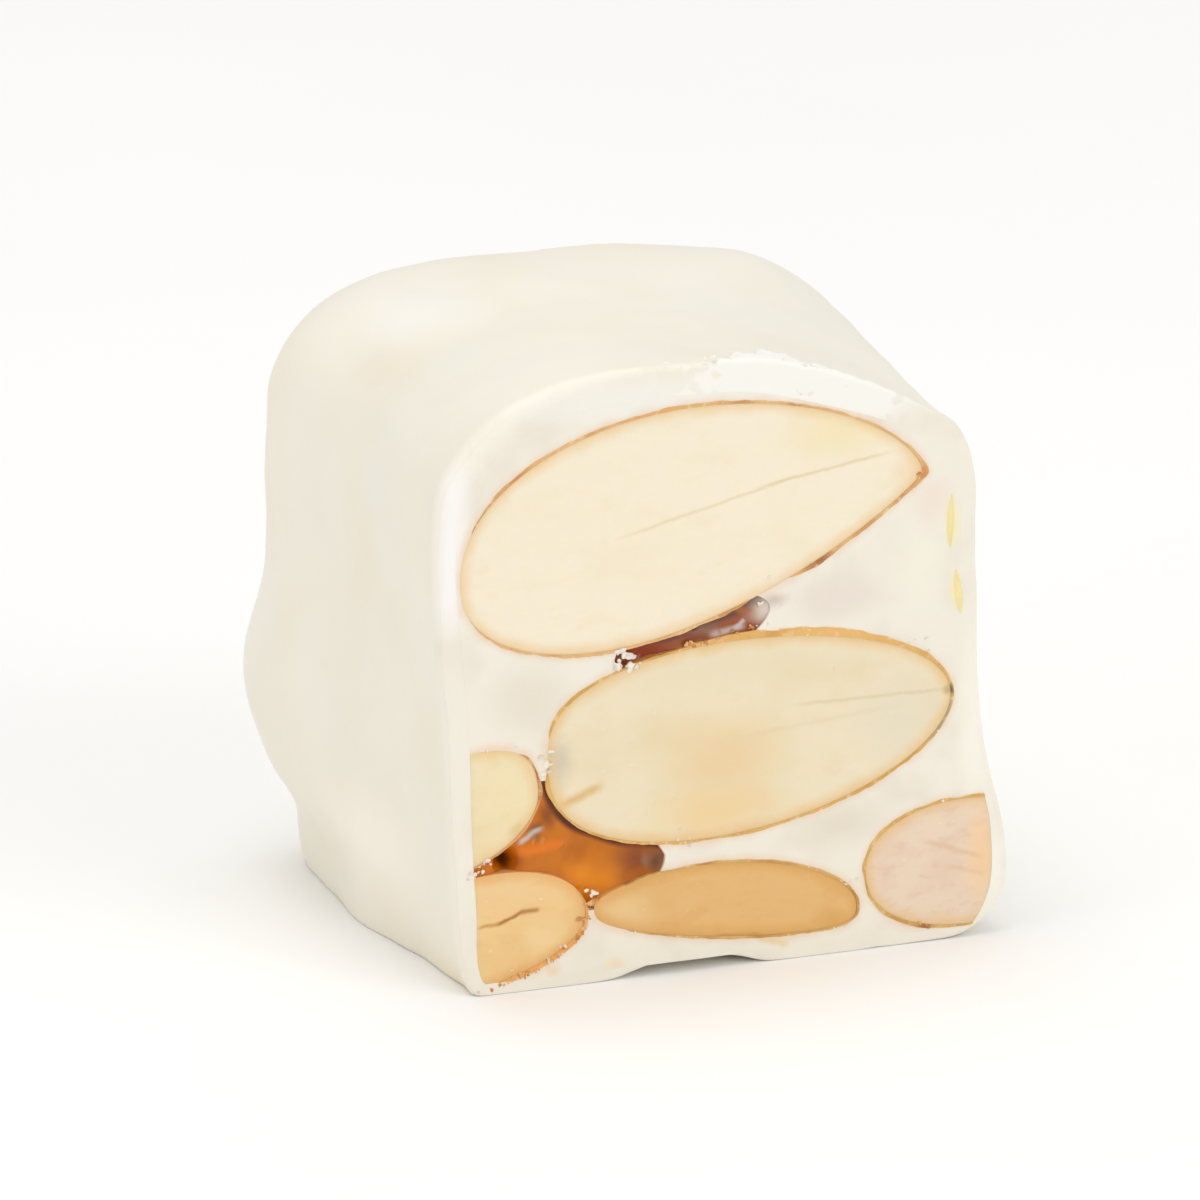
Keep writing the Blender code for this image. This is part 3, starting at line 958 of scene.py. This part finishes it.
def scatter(bm, clusters, rise, rng):
    """Crumbs in clusters on the slice, each given as a centre, a spread, a count and a size in
    mm. rise is how far they spread up and down, as a share of the spread."""
    for (x, z), spread, count, size in clusters:
        for _ in range(count):
            px = x * MM + rng.gauss(0, spread * 0.5) * MM
            pz = z * MM + rng.gauss(0, spread * rise) * MM
            crumb(bm, Vector((px, slice_relief(px, pz) - CRUMB_LIFT, pz)),
                  size * rng.uniform(0.4, 1.1) * MM, rng)


# Where single crumbs are left out, as from x, to x, from z and to z in mm: on the sunken caramel
POCKET_SPACE = (1.9, 9.2, 4.2, 8.8)
SEAM_SPACE = (7.2, 14.4, 13.3, 16.4)


def lies_in(space, x, z):
    left, right, low, high = space
    return left < x < right and low < z < high


def make_white_crumbs():
    rng = random.Random(41)
    bm = bmesh.new()
    clusters = (
        ((4.07, 10.0), 0.35, 6, 0.16), ((4.02, 9.4), 0.2, 4, 0.12), ((6.11, 3.95), 0.15, 3, 0.13),
        ((5.85, 4.0), 0.1, 2, 0.1), ((0.9, 5.3), 0.4, 6, 0.11), ((1.4, 6.0), 0.4, 4, 0.09),
        ((7.65, 13.95), 0.35, 7, 0.22), ((8.1, 13.75), 0.25, 3, 0.13),
        ((15.4, 14.5), 2.2, 10, 0.08), ((20.7, 13.05), 0.5, 4, 0.08), ((17.7, 3.1), 0.4, 4, 0.07),
        ((10.6, 5.85), 0.8, 6, 0.06), ((2.5, 0.95), 0.2, 2, 0.08), ((4.9, 1.7), 0.3, 3, 0.1),
        ((4.3, 1.2), 0.3, 3, 0.08),
    )
    scatter(bm, clusters, 0.5, rng)
    # Two pale crumbs set where the pocket shows its highlights: painted highlights.
    for x, z in ((3.95, 6.14), (4.76, 6.17)):
        crumb(bm, Vector((x, 0.4, z)) * MM, 0.13 * MM, rng)
    for name in ALMONDS:
        for place, outward in rng.sample(rim_points(name, (32, 60)), 9):
            at = place + outward * rng.uniform(0.0, 0.25) * MM
            x, z = at.x / MM, at.z / MM
            on_caramel = lies_in(POCKET_SPACE, x, z) or lies_in(SEAM_SPACE, x, z)
            if x < 1.4 or x > 23.2 or z < 0.5 or on_caramel:
                continue
            at.y = slice_relief(at.x, at.z) - CRUMB_LIFT
            crumb(bm, at, rng.uniform(0.03, 0.07) * MM, rng, 1)
    crumbs = new_piece("white_saw_crumbs", bm, plain_crumb("white_crumbs", "F3EBDC", "E2D7C7", 0.6))
    finish_piece(crumbs, "white_filling")


def make_golden_crumbs():
    rng = random.Random(77)
    bm = bmesh.new()
    clusters = (
        ((6.04, 3.5), 0.2, 5, 0.18), ((5.85, 2.85), 0.3, 4, 0.14), ((21.39, 0.6), 0.3, 3, 0.1),
        ((20.85, 20.6), 0.15, 4, 0.11), ((10.6, 14.2), 0.25, 3, 0.12),
        ((11.25, 14.25), 0.3, 4, 0.13), ((11.9, 14.35), 0.25, 3, 0.12),
        ((12.6, 14.5), 0.2, 2, 0.1), ((13.3, 14.7), 0.25, 3, 0.1),
    )
    scatter(bm, clusters, 0.4, rng)
    edge = [(place, outward) for place, outward in rim_points("almond_lower_left", (32, 90))
            if outward.z < 0.3 and place.x > 0.9 * MM]
    for _ in range(34):
        place, outward = rng.choice(edge)
        at = place + outward * rng.uniform(0.05, 0.24) * MM
        at.y = slice_relief(at.x, at.z)
        crumb(bm, at, rng.uniform(0.04, 0.12) * MM, rng)
    crumbs = new_piece("golden_saw_crumbs", bm,
                       plain_crumb("golden_crumbs", "E8B87A", "C88644", 0.4))
    finish_piece(crumbs, "caramel")


def make_rim_crumbs():
    """White crumbs that the saw pushed up along the slice's upper edge."""
    rng = random.Random(19)
    bm = bmesh.new()
    points = polar(SLICE_OUTLINE_MM)
    for _ in range(14):
        x = rng.gauss(15.0, 3.4)
        if not 6.0 < x < 21.5:
            continue
        angle = math.atan2(25.5 * MM - AXIS_Z, x * MM - AXIS_X)
        radius = outline_radius(points, angle) - rng.uniform(-0.1, 0.25) * MM
        at = Vector((AXIS_X + radius * math.cos(angle), 0, AXIS_Z + radius * math.sin(angle)))
        at.y = rng.uniform(0.15, 0.45) * MM
        crumb(bm, at, rng.uniform(0.06, 0.17) * MM, rng)
    crumbs = new_piece("rim_crumbs", bm, plain_crumb("rim_crumb_white", "F6F3EA", "F2EDE0", 0.55))
    finish_piece(crumbs, "white_chocolate")


def flesh_materials():
    return {
        "almond_top": almond_flesh(
            "cut_almond_cream", "F5EAD3", "F1E3C5", "F2CE98",
            marks=(("DFC994", (20.2, 21.7), (13.0, 20.6), 0.13, 0.6),
                   ("DFCD9A", (16.0, 21.15), (6.6, 18.95), 0.13, 0.5)),
            patches=(("F3E3B6", (17.2, 22.6), (3.8, 1.5), 0.8),
                     ("F2C78C", (20.9, 20.6), (1.6, 1.8), 0.6))),
        "almond_middle": almond_flesh(
            "cut_almond_mottled", "EEE1C3", "EAD8B2", "EDC587",
            marks=(("CDB98A", (23.5, 11.0), (14.4, 11.1), 0.14, 0.35),
                   ("CDB98A", (20.5, 10.6), (12.0, 9.9), 0.2, 0.14),
                   ("DDB264", (4.1, 7.6), (6.9, 8.65), 0.36, 0.75)),
            patches=(("E9DCBC", (12.0, 13.0), (9.0, 1.4), 0.6),
                     ("E6DDC6", (20.2, 10.0), (3.2, 3.2), 0.75),
                     ("EBCF9E", (12.0, 9.0), (4.6, 3.2), 0.85),
                     ("F0D092", (11.8, 6.8), (4.6, 1.5), 0.7),
                     # Painted shade: a grey patch beside the blunt end, where no skin shows.
                     ("C9C2AC", (4.6, 9.8), (1.0, 1.6), 0.7),
                     ("6B675C", (22.35, 11.0), (0.4, 0.4), 0.95))),
        "almond_left": almond_flesh(
            "cut_almond_tan", "F1E0BA", "EAD29C", "EFCB90",
            patches=(("C9A878", (3.0, 7.0), (0.9, 0.6), 0.6),
                     ("F2E3B4", (2.2, 8.4), (1.6, 2.0), 0.5))),
        "almond_lower_left": almond_flesh(
            "cut_almond_toasted", "F0CD93", "E9BE7C", "E9AE68",
            marks=(("CC9048", (0.9, 2.95), (2.5, 3.15), 0.14, 0.8),
                   ("B47434", (1.8, 3.0), (3.2, 3.55), 0.14, 1.0),
                   ("B87A38", (2.8, 3.42), (3.9, 3.5), 0.2, 0.9)),
            patches=(("F1D09C", (2.6, 4.8), (2.4, 0.9), 0.5),
                     ("F3D9A0", (3.9, 2.2), (1.4, 1.0), 0.5))),
        "almond_bottom": almond_flesh(
            "cut_almond_deep_toasted", "E6BB7A", "DEAB64", "DFA85C",
            marks=(("B4763A", (11.5, 1.4), (14.0, 1.2), 0.16, 0.9),),
            patches=(("EDCF98", (7.6, 2.8), (2.2, 1.6), 0.7),
                     ("D8A050", (17.0, 1.6), (1.3, 0.8), 0.6))),
        "almond_right": almond_flesh(
            "cut_almond_pink", "EBD6BE", "DFBDA0", "EDC48C", grit=0.6,
            marks=(("DCAE86", (20.8, 4.6), (24.3, 3.3), 0.2, 0.4),
                   ("DCAE86", (22.0, 3.3), (24.4, 2.6), 0.2, 0.25)),
            patches=(("F5D0A2", (24.0, 3.6), (1.2, 4.2), 0.9),
                     ("E0BFA4", (22.3, 3.1), (1.5, 1.5), 0.35))),
    }


def skin_materials():
    return {
        "almond_top": caramel_film("golden_skin_top", "E6B678", "CE9452", patches=(
            ("C87A3C", (20.9, 20.6), (0.8, 0.6), 0.85),
            ("9C5C28", (16.2, 17.4), (1.6, 1.0), 0.9), ("BE6E34", (3.0, 22.0), (1.2, 1.0), 0.8),
            ("E2A45C", (9.8, 24.0), (3.4, 1.2), 0.7))),
        "almond_middle": caramel_film("amber_skin_middle", "E3B266", "CE9744", patches=(
            ("EBB870", (17.2, 14.0), (4.0, 1.2), 0.9), ("CDA03C", (19.5, 7.8), (4.0, 2.0), 0.6),
            ("A09A78", (22.0, 9.7), (1.5, 1.9), 0.8), ("4E4A40", (22.5, 11.0), (0.3, 0.4), 0.95))),
        "almond_left": caramel_film("golden_skin_left", "DBA068", "AE6432", patches=(
            ("B4522A", (3.7, 10.3), (0.7, 0.5), 0.9),)),
        "almond_lower_left": caramel_film("rust_skin_lower_left", "EBA85A", "D08A44"),
        "almond_bottom": caramel_film("brown_skin_bottom", "DBAE68", "BC853C"),
        "almond_right": caramel_film("golden_skin_right", "DDB062", "C69244", patches=(
            ("A05828", (21.2, 0.6), (0.8, 0.5), 0.9),)),
    }


FLESH_SLOTS = {"almond_lower_left": "toasted_almond", "almond_bottom": "toasted_almond",
               "almond_right": "pink_almond"}
# The almonds beside the block's edge, which are cut off where they pass it
SIDE_ALMONDS = ("almond_top", "almond_left", "almond_lower_left", "almond_right")


def make_almonds():
    flesh = flesh_materials()
    skins = skin_materials()
    for name in ALMONDS:
        at_side = name in SIDE_ALMONDS
        make_almond(name, flesh[name], FLESH_SLOTS.get(name, "almond"), at_side)
        make_skin(name, skins[name], at_side)


def make_caramels():
    make_caramel("caramel_pocket", POCKET_HOLLOWS, boiled_caramel(
        "boiled_caramel_pocket", "CC7414", "AE5810", "5E2A08", (
            ("EC8F10", (6.0, 4.6), (2.2, 1.5), 1.0), ("8E481C", (8.3, 5.1), (1.7, 1.6), 1.0),
            ("7A3C14", (4.3, 7.5), (0.7, 1.0), 0.8), ("6E4630", (3.7, 6.9), (0.5, 0.6), 0.8),
            ("5E4636", (9.15, 4.9), (0.5, 0.9), 0.9), ("8E7866", (8.7, 4.95), (0.3, 0.5), 0.6),
            # Painted shade: near black in the deep hole at the pocket's left end.
            ("0E0907", (2.57, 5.55), (0.44, 0.42), 1.0),
        # Both lines are painted highlights: an orange streak and a pale grey line by the left
        # almond.
        ), (("E87A1C", (2.5, 6.0), (5.2, 6.15), 0.4, 0.9),
            ("CFC6BC", (2.8, 6.35), (4.2, 6.95), 0.2, 0.9))),
        ("almond_middle", "almond_left", "almond_lower_left", "almond_bottom"))
    make_caramel("caramel_seam", SEAM_HOLLOWS, boiled_caramel(
        "boiled_caramel_seam", "985230", "7C4630", "6A443C", (
            ("A83E16", (8.5, 14.0), (1.7, 0.8), 0.9), ("A07C64", (11.2, 14.8), (1.2, 0.4), 0.7),
            ("DCD0C2", (14.05, 15.4), (1.25, 1.1), 1.0), ("A8683C", (12.95, 15.4), (0.5, 0.3), 0.8),
            ("2E1A10", (10.8, 14.85), (0.32, 0.16), 0.9), ("7E5650", (11.3, 14.9), (1.1, 0.3), 0.6),
        ), (
            # Pale lilac-grey lines: a smear, with painted highlights on it.
            ("C4AEAA", (11.3, 14.5), (13.2, 14.75), 0.26, 1.0),
            ("CDBAB4", (12.5, 14.6), (13.05, 15.1), 0.2, 0.9),
            ("D09460", (9.6, 13.95), (13.4, 14.35), 0.3, 0.9),
        )), ("almond_top", "almond_middle"))


def make_piece():
    make_coat()
    make_filling()
    make_almonds()
    make_caramels()
    make_slivers()
    make_white_crumbs()
    make_golden_crumbs()
    make_rim_crumbs()


# ---------------------------------------------------------------- studio


FLOOR_DROP = 0.02 * MM           # keeps the floor clear of the piece's flat base


def make_floor():
    bm = bmesh.new()
    bmesh.ops.create_grid(bm, x_segments=2, y_segments=2, size=2.0)
    floor = new_piece("studio_floor", bm, pale_floor())
    floor.location.z = -FLOOR_DROP


def aim(thing, target):
    thing.rotation_euler = (target - thing.location).to_track_quat("-Z", "Y").to_euler()


def add_softbox(name, place, size, power, tint="FFFFFF"):
    light = bpy.data.lights.new(name, "AREA")
    light.shape = "SQUARE"
    light.size = size
    light.energy = power
    light.color = colour(tint)[:3]
    lamp = bpy.data.objects.new(name, light)
    lamp.location = place
    bpy.context.scene.collection.objects.link(lamp)
    aim(lamp, Vector((0, 0, 12 * MM)))


def make_studio():
    make_floor()
    add_softbox("key_softbox", (0.22, -0.42, 0.30), 0.30, 0.575)
    add_softbox("top_softbox", (-0.05, 0.05, 0.55), 0.40, 0.95)
    add_softbox("left_softbox", (-0.5, -0.12, 0.22), 0.30, 0.32)
    world = bpy.data.worlds.new("studio_air")
    world.use_nodes = True
    air = world.node_tree.nodes["Background"]
    air.inputs["Color"].default_value = colour("FFFFFF")
    air.inputs["Strength"].default_value = 0.7
    bpy.context.scene.world = world
    bpy.context.scene.view_settings.view_transform = "Standard"


CAMERA_AZIMUTH = -22.0
CAMERA_ELEVATION = 16.0
CAMERA_DISTANCE = 0.5
FRAME_WIDTH = 51.0 * MM          # what the picture's width covers at the piece


def make_camera():
    lens = bpy.data.cameras.new("camera")
    lens.sensor_width = 36.0
    lens.lens = lens.sensor_width * CAMERA_DISTANCE / FRAME_WIDTH
    lens.clip_start = 0.01
    camera = bpy.data.objects.new("camera", lens)
    bpy.context.scene.collection.objects.link(camera)
    azimuth = math.radians(CAMERA_AZIMUTH)
    elevation = math.radians(CAMERA_ELEVATION)
    back = Vector((math.sin(azimuth) * math.cos(elevation),
                   -math.cos(azimuth) * math.cos(elevation), math.sin(elevation)))
    target = Vector((-0.4 * MM, 0.0, 12.9 * MM))
    camera.location = target + back * CAMERA_DISTANCE
    aim(camera, target)
    bpy.context.scene.camera = camera


make_piece()
make_studio()
make_camera()
